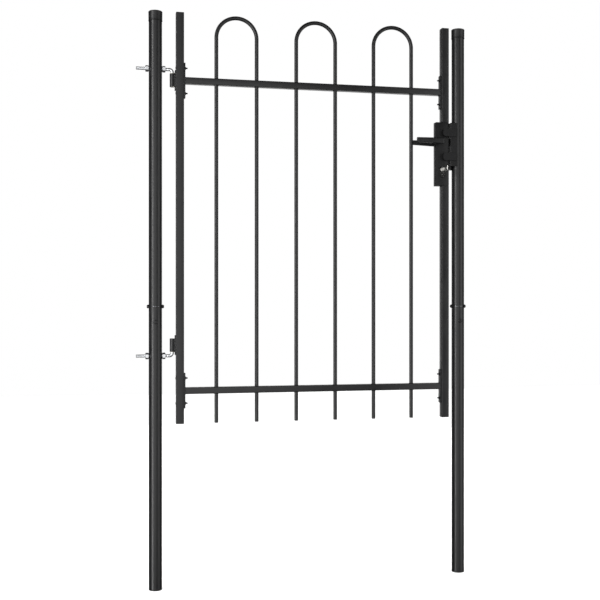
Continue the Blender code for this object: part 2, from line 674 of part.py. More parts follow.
def plug_and_key():
    """The plug with its keyway and cam, and the key in it."""
    half = FACE + CYLINDER_PROUD - FIT
    plug = turned_to(rod(PLUG_DIAMETER / 2, -half, half, 24), "y")
    at = (CYLINDER_X, 0, CYLINDER_HEIGHT)
    obj = piece("cylinder_plug", plug, NICKEL, at, PLUG)
    weld(obj, block((-0.002, -0.0040, -CAM_REACH), (0.002, 0.0040, 0), 0.0006, 1))
    wide, tall = KEY_THICK / 2 + FIT, KEY_BLADE / 2 + FIT
    deep = -half + KEY_BURIED + FIT * 3
    slots = [block((-wide, -half - 0.01, -tall), (wide, deep, tall))]
    slots.append(block((-wide, half - 0.010, -tall), (wide, half + 0.01, tall)))
    cut(obj, joined(*slots))
    thick = KEY_THICK / 2
    face = -half
    tip = face + KEY_BURIED
    shoulder = face - KEY_SHANK
    blade = KEY_BLADE / 2
    bow, bow_end = KEY_BOW / 2, shoulder - KEY_BOW_LONG
    round_bow = rounded(KEY_BOW_LONG, KEY_BOW, 0.006, 4)
    middle = (shoulder + bow_end) / 2
    in_bow = shoulder - 0.002
    blade_shape = [(tip, -blade * 0.4), (tip - 0.004, blade), (in_bow, blade)]
    blade_shape += [(in_bow, -blade), (tip - 0.004, -blade)]
    key = piece("key", yz_plate(blade_shape, thick), NICKEL, at, PLUG)
    weld(key, yz_plate([(middle + y, z) for y, z in round_bow], thick))
    hole = turned_to(rod(0.0028, -0.01, 0.01, 14), "x")
    cut(key, moved(hole, (0, bow_end + 0.006, 0)))


def yz_plate(outline, half_thick):
    """A flat plate from a (y, z) outline, centred on X."""
    shape = extrusion(outline, -half_thick, half_thick)
    spin = Matrix(((0, 0, 1, 0), (1, 0, 0, 0), (0, 1, 0, 0), (0, 0, 0, 1)))
    bmesh.ops.transform(shape, matrix=spin, verts=shape.verts)
    return shape


def latch_bolt():
    """The sprung bolt: a bevelled head through the forend, and a tail hooked round the follower's arm."""
    y, half = LATCH_THICK / 2, LATCH_TALL / 2
    tip = LEAF_RIGHT + LATCH_OUT
    back = SPINDLE_X + FOLLOWER / 2 + LATCH_BEHIND
    outline = [(back, -y), (LEAF_RIGHT + 0.001, -y), (tip, y - 0.003), (tip, y), (back, y)]
    head = extrusion(outline, SPINDLE_HEIGHT - half, SPINDLE_HEIGHT + half)
    obj = piece("latch_bolt", head, NICKEL, parent=GATE)
    top = SPINDLE_HEIGHT + ARM_REACH + 0.0012
    lean = math.radians(ARM_LEAN)
    claw_foot = ARM_REACH * 0.91
    arm_edge = claw_foot * math.tan(lean) - ARM_THICK / 2 / math.cos(lean)
    hook = SPINDLE_X + arm_edge - FIT
    riser = block((back + 0.0005, -0.0025, SPINDLE_HEIGHT), (back + 0.0045, 0.0025, top + 0.0028))
    bar = block((hook - 0.0021, -0.0026, top), (back + 0.004, 0.0026, top + 0.003))
    claw = block((hook - 0.0022, -0.0025, SPINDLE_HEIGHT + claw_foot), (hook, 0.0025, top + 0.001))
    weld(obj, riser)
    weld(obj, bar)
    weld(obj, claw)


def dead_bolt():
    """The square bolt that the key throws, drawn back just inside the forend."""
    y, half = DEAD_THICK / 2, DEAD_TALL / 2
    low = (LEAF_RIGHT - 0.0005 - DEAD_LENGTH, -y, DEAD_HEIGHT - half)
    high = (LEAF_RIGHT - 0.0005, y, DEAD_HEIGHT + half)
    piece("dead_bolt", block(low, high, 0.0006, 1), NICKEL, parent=GATE)


def return_spring():
    """A torsion spring round the follower, on its street side, that lifts the lever back."""
    wire, turns, steps = 0.0006, 2.5, 30
    radius = FOLLOWER / 2 + FIT + wire + 0.0002
    start, pitch = -FACE + LOCK_WALL + 0.0012, 0.0015
    route = []
    for i in range(steps + 1):
        angle = 2 * math.pi * turns * i / steps
        y = start + pitch * turns * i / steps
        route.append((SPINDLE_X + radius * math.cos(angle), y, SPINDLE_HEIGHT + radius * math.sin(angle)))
    bent_rod("return_spring", route, wire, STEEL, GATE).data.bevel_resolution = 1


def handle():
    """Two levers, the square spindle through them and the follower that draws the latch back."""
    at = (SPINDLE_X, 0, SPINDLE_HEIGHT)
    half = SPINDLE / 2
    end = LEVER_BACK_Y + LEVER_THICK - 0.003
    piece("spindle", block((-half, -end, -half), (half, end, half), 0.0008, 1), STEEL, at, HANDLE)
    inner = FACE - LOCK_WALL - 0.0019
    hub = piece("follower", turned_to(rod(FOLLOWER / 2, -inner, inner, 24), "y"), STEEL, at, HANDLE)
    arm = block((-ARM_THICK / 2, -0.0024, 0.004), (ARM_THICK / 2, 0.0024, ARM_REACH), 0.0006, 1)
    bmesh.ops.rotate(arm, matrix=Matrix.Rotation(math.radians(ARM_LEAN), 3, "Y"), verts=arm.verts)
    weld(hub, arm)
    play = half + FIT
    cut(hub, block((-play, -FACE, -play), (play, FACE, play)))
    for name, side in (("front_lever", -1), ("rear_lever", 1)):
        lever(name, side, at, play, inner + FIT)


def lever(name, side, at, play, neck_start):
    """A tapered bar on a round neck with a square socket for the spindle."""
    hub, tip = LEVER_HUB_TALL / 2, LEVER_TIP_TALL
    lower_tip = -hub + (LEVER_HUB_TALL - tip) * 0.75
    outline = [(LEVER_BACK, -hub), (LEVER_BACK, hub)]
    outline += [(-LEVER_REACH, lower_tip + tip), (-LEVER_REACH, lower_tip)]
    low, high = sorted((side * LEVER_BACK_Y, side * (LEVER_BACK_Y + LEVER_THICK)))
    bar = along_street(outline, low, high)
    bmesh.ops.bevel(bar, geom=bar.edges[:], offset=0.0016, segments=2, affect="EDGES", profile=0.5)
    obj = piece(name, bar, BLACK, at, HANDLE)
    low, high = sorted((side * neck_start, side * (LEVER_BACK_Y + 0.002)))
    weld(obj, turned_to(rod(NECK / 2, low, high, 24), "y"))
    low, high = sorted((0, side * (LEVER_BACK_Y + LEVER_THICK - 0.003 + FIT)))
    cut(obj, block((-play, low, -play), (play, high, play)))


# Keeper

def keeper():
    """The strike on the latch post: a channel shaped to the post, with two lugs that stop the leaf."""
    half = KEEPER_DEEP / 2
    top = KEEPER_BOTTOM + KEEPER_TALL
    right = LATCH_POST_X
    body = block((STRIKE_X, -half, KEEPER_BOTTOM), (right, half, top), 0.0012, 1)
    obj = piece("keeper", body, BLACK)
    lug_outline = rounded(0.020, LUG_TALL, 0.009, 4)
    left = LEAF_RIGHT - LUG_OVERLAP
    end = right - POST_R * 0.62
    lug_back = -FACE - PAD_THICK - 2 * FIT
    lugs = []
    for up in (-1, 1):
        z = LUG_MIDDLE + up * LUG_PITCH / 2
        outline = [(x + left + 0.010, y) for x, y in lug_outline if x < 0]
        outline = [(end, LUG_TALL / 2)] + outline + [(end, -LUG_TALL / 2)]
        lugs.append(moved(along_street(outline, lug_back - LUG_THICK, lug_back), (0, 0, z)))
    weld(obj, joined(*lugs))
    shell = KEEPER_WALL
    room_low = (STRIKE_X + shell, -half + shell, KEEPER_BOTTOM - 0.01)
    cut(obj, block(room_low, (right + 0.01, half - shell, top - shell)))
    slots = []
    for thick, high, z in BOLT_SECTIONS:
        y, tall = thick / 2 + SLOT_PLAY, high / 2 + SLOT_PLAY
        slots.append(block((STRIKE_X - 0.004, -y, z - tall), (STRIKE_X + shell + 0.002, y, z + tall)))
    cut(obj, joined(*slots))
    short = block((STRIKE_X - 0.01, -half - 0.02, KEEPER_BOTTOM - 0.01),
                  (right, -half + shell + 0.001, KEEPER_BOTTOM + KEEPER_FRONT_LIFT))
    cut(obj, short)
    cut(obj, rod_at(right, POST_R + FIT, KEEPER_BOTTOM - 0.02, top + 0.02))
    for name, up in (("lower_stop_pad", -1), ("upper_stop_pad", 1)):
        z = LUG_MIDDLE + up * LUG_PITCH / 2
        low = (left + 0.006, lug_back + FIT, z - 0.008)
        high = (LEAF_RIGHT - 0.003, lug_back + FIT + PAD_THICK, z + 0.008)
        piece(name, block(low, high, 0.0003, 1), PLASTIC)


def rod_at(x, radius, start, end):
    """A vertical round bar at a given X."""
    return moved(rod(radius, start, end, SIDES), (x, 0, 0))


hinge_heights = {"top": (UPPER_EYE, -1), "bottom": (LOWER_EYE, 1)}
rods = [z - turn * (EYE_LENGTH / 2 + ROD_PAST_EYE) for z, turn in hinge_heights.values()]
post("hinge", HINGE_POST_X, rods)
post("latch", LATCH_POST_X, [])
for place, (height, turn) in hinge_heights.items():
    hinge(place, height, turn)
for place, height in RAIL_HEIGHTS.items():
    rail(place, height)
    for level, up in (("upper", 1), ("lower", -1)):
        z = height + up * FLANGE_BOLT_PITCH / 2
        flange_bolt("%s_rail_hinge_bolt_%s" % (place, level), LEAF_LEFT, 1, z)
        flange_bolt("%s_rail_latch_bolt_%s" % (place, level), LEAF_RIGHT, -1, z)
stile("hinge_stile", LEFT_STILE_X, LEAF_LIFT, LEAF_TOP - 0.002 - FIT)
stile("latch_stile_lower", RIGHT_STILE_X, LEAF_LIFT, LOCK_BOTTOM - FIT)
stile("latch_stile_upper", RIGHT_STILE_X, LOCK_TOP + FIT, LEAF_TOP - 0.002 - FIT)
stile_plug("hinge_stile_plug", LEFT_STILE_X)
stile_plug("latch_stile_plug", RIGHT_STILE_X)
for number in range(HOOPS):
    hoop(number + 1, UPRIGHT_XS[2 * number], UPRIGHT_XS[2 * number + 1])
lock_box()
lock_chassis()
cylinder()
plug_and_key()
latch_bolt()
dead_bolt()
return_spring()
handle()
keeper()
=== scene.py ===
# %% [markdown]
# # A garden gate
# This lesson dresses a finished gate model for a studio picture. The gate is a black steel leaf of three
# hoops between two square stiles. It hangs by two eye hinges on one round post and latches on another. The
# solid model is loaded first and never changes. It says where everything is, so each new piece is worked
# out from it, in metres, with X along the gate, Y from the street to the garden and Z up.

# %% Load the solid model
import json

import bmesh
import bpy
import numpy as np
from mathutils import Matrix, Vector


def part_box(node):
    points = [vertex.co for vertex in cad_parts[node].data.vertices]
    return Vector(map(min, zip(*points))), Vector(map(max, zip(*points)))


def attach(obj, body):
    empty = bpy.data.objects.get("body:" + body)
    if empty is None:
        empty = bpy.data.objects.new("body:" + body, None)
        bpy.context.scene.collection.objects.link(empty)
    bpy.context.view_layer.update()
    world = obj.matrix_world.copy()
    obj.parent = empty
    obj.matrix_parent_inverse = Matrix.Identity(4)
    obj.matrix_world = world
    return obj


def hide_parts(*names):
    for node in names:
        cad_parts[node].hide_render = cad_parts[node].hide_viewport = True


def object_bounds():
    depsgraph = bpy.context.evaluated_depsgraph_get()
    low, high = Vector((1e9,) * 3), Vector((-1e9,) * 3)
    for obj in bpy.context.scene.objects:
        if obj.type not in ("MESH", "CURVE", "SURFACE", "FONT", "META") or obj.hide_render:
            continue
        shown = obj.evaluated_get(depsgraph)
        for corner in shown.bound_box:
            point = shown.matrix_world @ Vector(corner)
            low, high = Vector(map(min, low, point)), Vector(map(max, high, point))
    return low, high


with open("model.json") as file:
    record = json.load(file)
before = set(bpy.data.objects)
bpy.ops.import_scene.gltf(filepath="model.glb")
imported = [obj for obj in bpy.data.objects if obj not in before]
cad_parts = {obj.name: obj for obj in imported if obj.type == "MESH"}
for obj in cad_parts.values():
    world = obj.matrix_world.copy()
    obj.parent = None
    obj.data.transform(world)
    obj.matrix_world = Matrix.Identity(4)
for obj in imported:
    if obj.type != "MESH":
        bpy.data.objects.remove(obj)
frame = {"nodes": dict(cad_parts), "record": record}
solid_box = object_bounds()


# %% [markdown]
# ## Measuring the solid model
# Every position below comes from the box of a named solid. Reading it through one small function keeps the
# later cells short, and a change to the solid model then moves the new pieces with it.

# %% Read a solid's place
def place(node):
    """The lowest corner, the highest corner, the middle and the size of one solid."""
    low, high = (np.array(corner, dtype=float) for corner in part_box(node))
    return low, high, (low + high) / 2, high - low


post_radius = place("hinge_post_lower")[3][0] / 2
print("post radius in mm:", round(post_radius * 1000, 2))


# %% [markdown]
# ## Colour
# Paint and plastic colours are usually given as hex values for a screen, which are not proportional to
# light. The shaders work with amounts of light, so one function undoes the screen curve.

# %% Turn a screen colour into amounts of light
def light_of(hex_value):
    """A channel c becomes ((c + 0.055) / 1.055) to the power 2.4, or c / 12.92 when it is very dark."""
    channel = np.array([int(hex_value[i:i + 2], 16) for i in (1, 3, 5)]) / 255
    linear = np.where(channel <= 0.04045, channel / 12.92, ((channel + 0.055) / 1.055) ** 2.4)
    return (*linear.tolist(), 1.0)


print("mid grey:", light_of("#808080"))


# %% [markdown]
# ## Building materials from nodes
# A material is a small network. This helper adds one node of any kind, sets its options, and fills its
# inputs with plain values or with links from earlier nodes, so each material below reads from top to
# bottom.

# %% Add one shader node
def add(tree, kind, inputs=(), **options):
    """One node of a kind, with its options set and its inputs given values or links."""
    made = tree.nodes.new(kind)
    for option, value in options.items():
        setattr(made, option, value)
    for socket, value in dict(inputs).items():
        if isinstance(value, bpy.types.NodeSocket):
            tree.links.new(value, made.inputs[socket])
        else:
            made.inputs[socket].default_value = value
    return made


def new_finish(name, slot, **constants):
    """An empty material with one main shader, whose constant values sit on the shader's own sockets."""
    finish = bpy.data.materials.new(name)
    finish.use_nodes = True
    tree = finish.node_tree
    shader = tree.nodes["Principled BSDF"]
    for socket, value in constants.items():
        shader.inputs[socket.replace("_", " ")].default_value = value
    return tree, shader, finish


def pattern_place(tree, stretch=(1, 1, 1)):
    """Coordinates in metres fixed to the object, squeezed along an axis where the pattern runs in lines."""
    metres = add(tree, "ShaderNodeTexCoord")
    return add(tree, "ShaderNodeMapping", {"Vector": metres.outputs["Object"], "Scale": stretch}).outputs[0]


def per_metre(millimetres):
    """Texture scale for a feature of a real size: how many of them fit in one metre."""
    return 1000 / millimetres


# %% [markdown]
# ## Black powder coat
# The posts and the leaf are steel, coated with black polyester powder that is baked until it flows
# together. It dries to a satin skin that is never quite flat: soft dimples about 2 mm across, called orange
# peel, and slow changes of gloss over a few centimetres where the film is thicker. Polyester has an IOR
# near 1.5. The dimples are bump, because they are a few hundredths of a millimetre deep. The slow change of
# gloss is drawn a little stronger than real, so that it shows on a whole gate. The lock box and the keeper
# get a darker, duller copy of the coat with a lower IOR, so they reflect less. This is painted shade,
# standing in for the dimmer light that falls on them.

# %% Make the two powder coats
def powder_coat(name, slot, dark, pale, rough, index=1.5):
    """Two noises: a slow one mixes two blacks and two roughnesses, and a fine one makes the orange peel."""
    tree, shader, finish = new_finish(name, slot, IOR=index, Metallic=0.0)
    where = pattern_place(tree)
    slow = add(tree, "ShaderNodeTexNoise", {"Vector": where, "Scale": per_metre(60), "Detail": 3.0})
    tone = add(tree, "ShaderNodeMix", {0: slow.outputs["Fac"], 6: light_of(dark), 7: light_of(pale)},
               data_type="RGBA")
    tree.links.new(tone.outputs[2], shader.inputs["Base Color"])
    gloss = add(tree, "ShaderNodeMapRange",
                {0: slow.outputs["Fac"], 1: 0.35, 2: 0.65, 3: rough - 0.04, 4: rough + 0.05})
    tree.links.new(gloss.outputs[0], shader.inputs["Roughness"])
    peel = add(tree, "ShaderNodeTexNoise", {"Vector": where, "Scale": per_metre(2.2), "Detail": 2.0})
    bump = add(tree, "ShaderNodeBump", {"Strength": 0.35, "Distance": 0.00006, "Height": peel.outputs["Fac"]})
    tree.links.new(bump.outputs[0], shader.inputs["Normal"])
    return finish


powder = powder_coat("satin_black_powder_coat", "black_powder_coat", "#161617", "#1d1d1e", 0.36)
# Painted shade: a darker black and a lower IOR make the lock box and keeper look dimmer than the tubes.
shade_darkened_coat = powder_coat("shade_darkened_black_powder_coat", "black_powder_coat", "#131314", "#19191a", 0.44, 1.40)
print("made", powder.name, "and", shade_darkened_coat.name)


# %% [markdown]
# ## Moulded plastic
# The caps and plugs are moulded polyethylene. The mould is spark-eroded, which leaves a fine even grain
# of about half a millimetre, so the plastic looks a little greyer and duller than the paint beside it.
# The small black bolts and screws share its finish, because black oxide on steel is about as dark. The
# hinge bushes are natural nylon, which is moulded too and keeps its own cream colour.

# %% Make the black plastic and the nylon
def moulded(name, slot, dark, pale, rough, grain, depth):
    """A fine cell pattern for the mould's grain, and a slow noise for the colour."""
    tree, shader, finish = new_finish(name, slot, IOR=1.51, Metallic=0.0)
    where = pattern_place(tree)
    slow = add(tree, "ShaderNodeTexNoise", {"Vector": where, "Scale": per_metre(15), "Detail": 2.0})
    tone = add(tree, "ShaderNodeMix", {0: slow.outputs["Fac"], 6: light_of(dark), 7: light_of(pale)},
               data_type="RGBA")
    tree.links.new(tone.outputs[2], shader.inputs["Base Color"])
    shader.inputs["Roughness"].default_value = rough
    cells = add(tree, "ShaderNodeTexVoronoi", {"Vector": where, "Scale": per_metre(grain)})
    bump = add(tree, "ShaderNodeBump",
               {"Strength": 0.4, "Distance": depth, "Height": cells.outputs["Distance"]})
    tree.links.new(bump.outputs[0], shader.inputs["Normal"])
    return finish


plastic = moulded("moulded_black_polyethylene", "black_plastic", "#141415", "#1b1b1c", 0.42, 0.6, 0.00004)
nylon = moulded("natural_nylon", "nylon", "#cfccc0", "#dedbd0", 0.45, 0.8, 0.00003)
print("made", plastic.name, "and", nylon.name)


# %% [markdown]
# ## Plated and bare metals
# The hinge bolts are bright zinc and the hidden lock works are drawn steel. The lock cylinder, latch and key
# are nickel on brass, polished on the cylinder's body and satin on the rest. A bare metal has no colour
# under its reflection, so Metallic is 1 and the base colour is the tint of the reflection. What tells them
# apart is the colour and how the surface was worked: barrelled zinc is cloudy in patches of a few
# millimetres, and brushed or drawn metal has fine lines along one way.

# %% Make the metals
def metal(name, slot, dark, pale, rough, patch, stretch=(1, 1, 1)):
    """Noise patches, stretched into lines where stretch says so, mix two tints and two roughnesses."""
    tree, shader, finish = new_finish(name, slot, Metallic=1.0)
    where = pattern_place(tree, stretch)
    cloud = add(tree, "ShaderNodeTexNoise", {"Vector": where, "Scale": per_metre(patch), "Detail": 4.0})
    tone = add(tree, "ShaderNodeMix", {0: cloud.outputs["Fac"], 6: light_of(dark), 7: light_of(pale)},
               data_type="RGBA")
    tree.links.new(tone.outputs[2], shader.inputs["Base Color"])
    gloss = add(tree, "ShaderNodeMapRange",
                {0: cloud.outputs["Fac"], 1: 0.3, 2: 0.7, 3: rough - 0.06, 4: rough + 0.08})
    tree.links.new(gloss.outputs[0], shader.inputs["Roughness"])
    bump = add(tree, "ShaderNodeBump",
               {"Strength": 0.15, "Distance": 0.00002, "Height": cloud.outputs["Fac"]})
    tree.links.new(bump.outputs[0], shader.inputs["Normal"])
    return finish


zinc = metal("bright_zinc_plate", "zinc_plate", "#e6e8eb", "#f7f8f9", 0.42, 3.0)
nickel = metal("satin_nickel_on_brass", "nickel", "#c8c7c4", "#e3e2df", 0.26, 0.8, (1, 1, 0.08))
polished = metal("polished_nickel_on_brass", "nickel", "#c2c1be", "#dad9d6", 0.12, 2.0)
steel = metal("drawn_steel", "bright_steel", "#8d8f93", "#b2b4b8", 0.36, 1.2, (0.06, 1, 1))
finish_of_slot = {"black_powder_coat": powder, "black_plastic": plastic, "zinc_plate": zinc,
                  "nickel": nickel, "nylon": nylon, "bright_steel": steel}
print("made", zinc.name, nickel.name, polished.name, steel.name)


# %% [markdown]
# ## Surfaces as grids
# Each new piece is a grid of points: rows along the piece and columns round it. Neighbouring points make
# four-cornered faces, and the first and last rows are closed with one flat face each. A grid whose last row
# meets its first, such as a tube with a wall, needs no ends. This keeps every piece closed.

# %% Turn a grid of points into a piece
def grid_faces(rows, columns, ring):
    """Corner numbers of every face: point (i, j) is number i times columns plus j, and columns go round."""
    last = rows if ring else rows - 1
    i, j = np.meshgrid(np.arange(last), np.arange(columns), indexing="ij")
    up, over = (i + 1) % rows, (j + 1) % columns
    corners = np.stack([i * columns + j, i * columns + over, up * columns + over, up * columns + j], axis=-1)
    faces = corners.reshape(-1, 4).tolist()
    if not ring:
        faces.append(list(range(columns))[::-1])
        faces.append(list(range((rows - 1) * columns, rows * columns)))
    return faces


def piece(name, grids, finish, body, stands_for=(), ring=False, sharp=34):
    """One object from one or more grids, facing outwards, smooth except where it turns by more than sharp."""
    grids = [grids] if isinstance(grids, np.ndarray) else grids
    points, faces = [], []
    for grid in grids:
        rows, columns, _ = grid.shape
        first = sum(len(block) for block in points)
        faces += [[first + corner for corner in face] for face in grid_faces(rows, columns, ring)]
        points.append(grid.reshape(-1, 3))
    mesh = bpy.data.meshes.new(name)
    mesh.from_pydata(np.concatenate(points), [], faces)
    return dressed(name, mesh, finish, body, stands_for, sharp)


def dressed(name, mesh, finish, body, stands_for, sharp):
    """Turns the faces outwards, shades them, gives the finish, and ties the object to its body."""
    work = bmesh.new()
    work.from_mesh(mesh)
    bmesh.ops.recalc_face_normals(work, faces=work.faces[:])
    work.to_mesh(mesh)
    work.free()
    mesh.shade_smooth()
    mesh.set_sharp_from_angle(angle=np.radians(sharp))
    mesh.materials.append(finish)
    made = bpy.data.objects.new(name, mesh)
    bpy.context.scene.collection.objects.link(made)
    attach(made, body)
    if stands_for:
        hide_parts(*stands_for)
    return made


print("faces of a 3 by 4 grid:", len(grid_faces(3, 4, False)))


# %% [markdown]
# ## Three ways to make a grid
# Round pieces are turned, like work on a lathe. Bars and tubes are an outline carried along a straight line
# or a bent one. Between them these shapes make almost every part of a gate.

# %% Turn, lay down and carry outlines
def turned(profile, sides=64, hexagonal=()):
    """Each (radius, height) of the profile goes round Z: x = radius cos t, y = radius sin t, z = height.
    A row listed as hexagonal has its radius divided by the cosine of the angle from its nearest flat."""
    turn = np.linspace(0, 2 * np.pi, sides, endpoint=False)
    radius, height = np.asarray(profile, dtype=float).T
    reach = np.repeat(radius[:, None], sides, axis=1)
    reach[list(hexagonal)] /= np.cos((turn + np.pi / 6) % (np.pi / 3) - np.pi / 6)
    return around(reach, height, turn)


def around(reach, height, turn):
    """Points at a radius for every row and angle: x = reach cos t, y = reach sin t, z = height."""
    level = np.repeat(height[:, None], len(turn), axis=1)
    return np.stack([reach * np.cos(turn), reach * np.sin(turn), level], axis=-1)


def laid(grid, axis):
    """A grid made along Z, laid along X or Y by passing its coordinates round in a circle."""
    return np.roll(grid, {"z": 0, "x": 1, "y": 2}[axis], axis=-1)


def outline(width, height, corner, steps=5):
    """A rectangle with four quarter circles for corners, centred on (0, 0), as columns u and v."""
    turn = np.linspace(0, np.pi / 2, steps)
    angle = (np.arange(4)[:, None] * np.pi / 2 + turn).ravel()
    reach = np.repeat(np.array([[1, 1], [-1, 1], [-1, -1], [1, -1]]), steps, axis=0)
    middle = reach * (np.array([width, height]) / 2 - corner)
    return middle + corner * np.stack([np.cos(angle), np.sin(angle)], axis=-1)


def carried(sections):
    """One row for each section (width, height, corner, z): its outline in x and y, at that z."""
    rows = []
    for width, height, corner, level in sections:
        flat = outline(width, height, corner)
        rows.append(np.column_stack([flat, np.full(len(flat), level)]))
    return np.array(rows)


def bar(width, height, corner, start, end, edge):
    """Sections of a solid bar: near both ends each side draws in along a quarter circle of radius edge."""
    turn = np.linspace(0, np.pi / 2, 4)
    inset, along = edge * (1 - np.sin(turn)), edge * (1 - np.cos(turn))
    first = [(width - 2 * s, height - 2 * s, max(corner - s, 0.0001), start + a)
             for s, a in zip(inset, along)]
    return first + [(w, h, c, start + end - z) for w, h, c, z in reversed(first)]


def swept(path, across, deep):
    """A bent bar in the XZ plane: each point is the path, plus across times the side, plus deep along Y."""
    along = np.gradient(path, axis=0)
    along /= np.linalg.norm(along, axis=1, keepdims=True)
    garden = np.array([0.0, 1.0, 0.0])
    side = np.cross(along, garden)
    return path[:, None, :] + across[..., None] * side[:, None, :] + deep[..., None] * garden


print("outline points:", len(outline(0.02, 0.02, 0.002)))


# %% [markdown]
# ## The posts
# Each post is two lengths of 40 mm round tube on an inner sleeve, so that it packs short. On a lathe view a
# tube is one closed profile: up the outside, over the cut edge, down the inside and back. The cut edges are
# broken by less than half a millimetre, which is enough to catch a thread of light at the joint.

# %% Turn the post tubes
def post_tube(node, wall=0.002, edge=0.0004):
    """Eight corners of the wall's section, turned round the post's own axis."""
    low, high, middle, size = place(node)
    radius = size[0] / 2
    bore, foot, top = radius - wall, low[2], high[2]
    profile = [(bore + edge, foot), (radius - edge, foot), (radius, foot + edge), (radius, top - edge)]
    profile += [(radius - edge, top), (bore + edge, top), (bore, top - edge), (bore, foot + edge)]
    return turned(profile, 96) + [middle[0], middle[1], 0]


for side in ("hinge", "latch"):
    for half in ("lower", "upper"):
        node = f"{side}_post_{half}"
        made = piece(node + "_tube", post_tube(node), powder, "root", [node], ring=True)
        print(made.name, len(made.data.polygons), "faces")


# %% [markdown]
# ## Post caps
# A push-on cap is a thin moulded cup. Its top edge is rounded, its skirt ends in a small bead, and the
# middle of the top keeps the shallow dimple where the plastic was fed into the mould. It is one profile
# from the inside of the top, down the inside, round the rim and back up the outside.

# %% Turn the caps
def cap(node, rise=0.003, edge=0.0030):
    """The cup's profile from its inner top, round the rim, to the dimple in its outer top."""
    low, high, middle, size = place(node)
    radius, foot, top = size[0] / 2, low[2], high[2]
    inside = post_radius + 0.0003
    turn = np.linspace(0, np.pi / 2, 7)
    shoulder = np.column_stack([radius - edge * (1 - np.cos(turn)), top - edge * (1 - np.sin(turn))])
    profile = [(0.001, top - rise), (inside, top - rise), (inside, foot + 0.0006), (inside + 0.0003, foot)]
    profile += [(radius - 0.0004, foot), (radius, foot + 0.0005), (radius, foot + 0.0020)]
    profile += [(radius - 0.0004, foot + 0.0026), (radius - 0.0004, foot + 0.0034)]
    profile += [(radius - 0.0002, top - edge - 0.0012), (radius - 0.0001, top - edge - 0.0004)]
    profile += shoulder.tolist() + [(0.0052, top - 0.0002), (0.0045, top - 0.0007), (0.001, top - 0.0007)]
    return turned(profile, 96) + [middle[0], middle[1], 0]


for side in ("hinge", "latch"):
    node = side + "_post_cap"
    print(piece(node + "_moulding", cap(node), plastic, "root", [node]).name)


# %% [markdown]
# ## Joint bolts and set screws
# A black bolt crosses each joint, and a low button screw on the street side locks the halves. Both
# heads have a hexagon socket. The socket is part of the same turned surface: its rows are hexagons instead
# of circles, because a hexagon's radius is its flat distance divided by a cosine.

# %% Turn the button heads
def button(radius, rise, socket, seat, tip, shank):
    """From the shank's tip, along the shank, over a quarter-ellipse dome and down into a hexagon socket."""
    turn = np.linspace(0, np.pi / 2, 9)
    lip = socket + 0.0006
    dome = np.column_stack([lip + (radius - lip) * np.cos(turn), seat + rise * np.sin(turn)])
    profile = [(shank * 0.8, tip), (shank, tip + 0.0006), (shank, seat), (radius, seat)] + dome.tolist()
    deep = seat + rise - 0.0022
    profile += [(socket, seat + rise - 0.0004), (socket, deep), (socket * 0.5, deep - 0.0004)]
    sockets = [len(profile) - 3, len(profile) - 2, len(profile) - 1]
    return turned(profile, 60, sockets)


for side in ("hinge", "latch"):
    node = side + "_post_joint_bolt"
    low, high, middle, size = place(node)
    head, reach = size[1] / 2, size[0] / 2
    half = button(head, reach - post_radius - 0.0003, 0.0025, post_radius + 0.0003, -0.001, 0.0038)
    both = [laid(half, "x") + middle, laid(half * [-1, 1, -1], "x") + middle]
    print(piece(node + "_heads", both, plastic, "root", [node]).name)
    node = side + "_post_set_screw"
    low, high, middle, size = place(node)
    seat = post_radius - 0.0018
    screw = laid(button(size[0] / 2, -low[1] - seat, 0.0026, seat, seat - 0.004, 0.003), "y") * [1, -1, 1]
    print(piece(node + "_head", screw + [middle[0], 0, middle[2]], plastic, "root", [node]).name)


# %% [markdown]
# ## Hoops
# Each hoop is one 12 mm round bar bent to a half circle. The path is two straight legs and the bend, and a
# circle is carried along it. The feet are sawn and only broken at the edge, so the first and last rows are
# smaller.

# %% Sweep the hoops
def ring_offsets(radii, sides=40):
    """Across and deep offsets of a circle at each station: radius times cosine, and radius times sine."""
    turn = np.linspace(0, 2 * np.pi, sides, endpoint=False)
    return np.outer(radii, np.cos(turn)), np.outer(radii, np.sin(turn))


bar_radius = 0.006


def hoop(node, radius=bar_radius, edge=0.0006):
    """Left leg up, half circle over, right leg down, as one path in the XZ plane."""
    low, high, middle, size = place(node)
    bend = size[0] / 2 - radius
    crown = high[2] - radius - bend
    turn = np.linspace(np.pi, 0, 61)
    over = np.column_stack([middle[0] + bend * np.cos(turn), np.zeros(61), crown + bend * np.sin(turn)])
    heights = low[2] + np.array([0, edge, 0.3, 0.6, 0.9])
    left = np.column_stack([np.full(5, middle[0] - bend), np.zeros(5), heights])
    right = left[::-1] + [2 * bend, 0, 0]
    path = np.concatenate([left, over, right])
    radii = np.full(len(path), radius)
    radii[[0, -1]] -= edge
    return swept(path, *ring_offsets(radii))


for number in (1, 2, 3):
    node = f"hoop_{number}"
    made = piece(node + "_bar", hoop(node), powder, "leaf", [node])
    print(made.name, len(made.data.polygons), "faces")


# %% [markdown]
# ## Rails and their flanges
# The rails are 20 mm square tube with a flat bolting flange welded on each end. A rounded square is carried
# along X for the bar, and a rounded strip for each flange. Real corners are rolled, not sharp, and the
# radius is what draws the bright line along the edge of a square tube.

# %% Carry the rails
flange_thick, rail_side = 0.004, 0.020
rails = {"top_rail": place("top_rail"), "bottom_rail": place("bottom_rail")}
for node, (low, high, middle, size) in rails.items():
    inner = size[0] / 2 - flange_thick + 0.0005
    shape = laid(carried(bar(rail_side, rail_side, 0.0018, -inner, inner, 0.0004)), "x") + middle
    piece(node + "_bar", shape, powder, "leaf", [node])
    for end, way in (("hinge", -1), ("latch", 1)):
        outer = way * (size[0] / 2)
        start, stop = sorted((outer, outer - way * flange_thick))
        strip = laid(carried(bar(rail_side, size[2], 0.004, start, stop, 0.0005)), "x") + middle
        piece(f"{node}_{end}_flange", strip, powder, "leaf")
    print(node, "length in mm:", round(size[0] * 1000, 1))


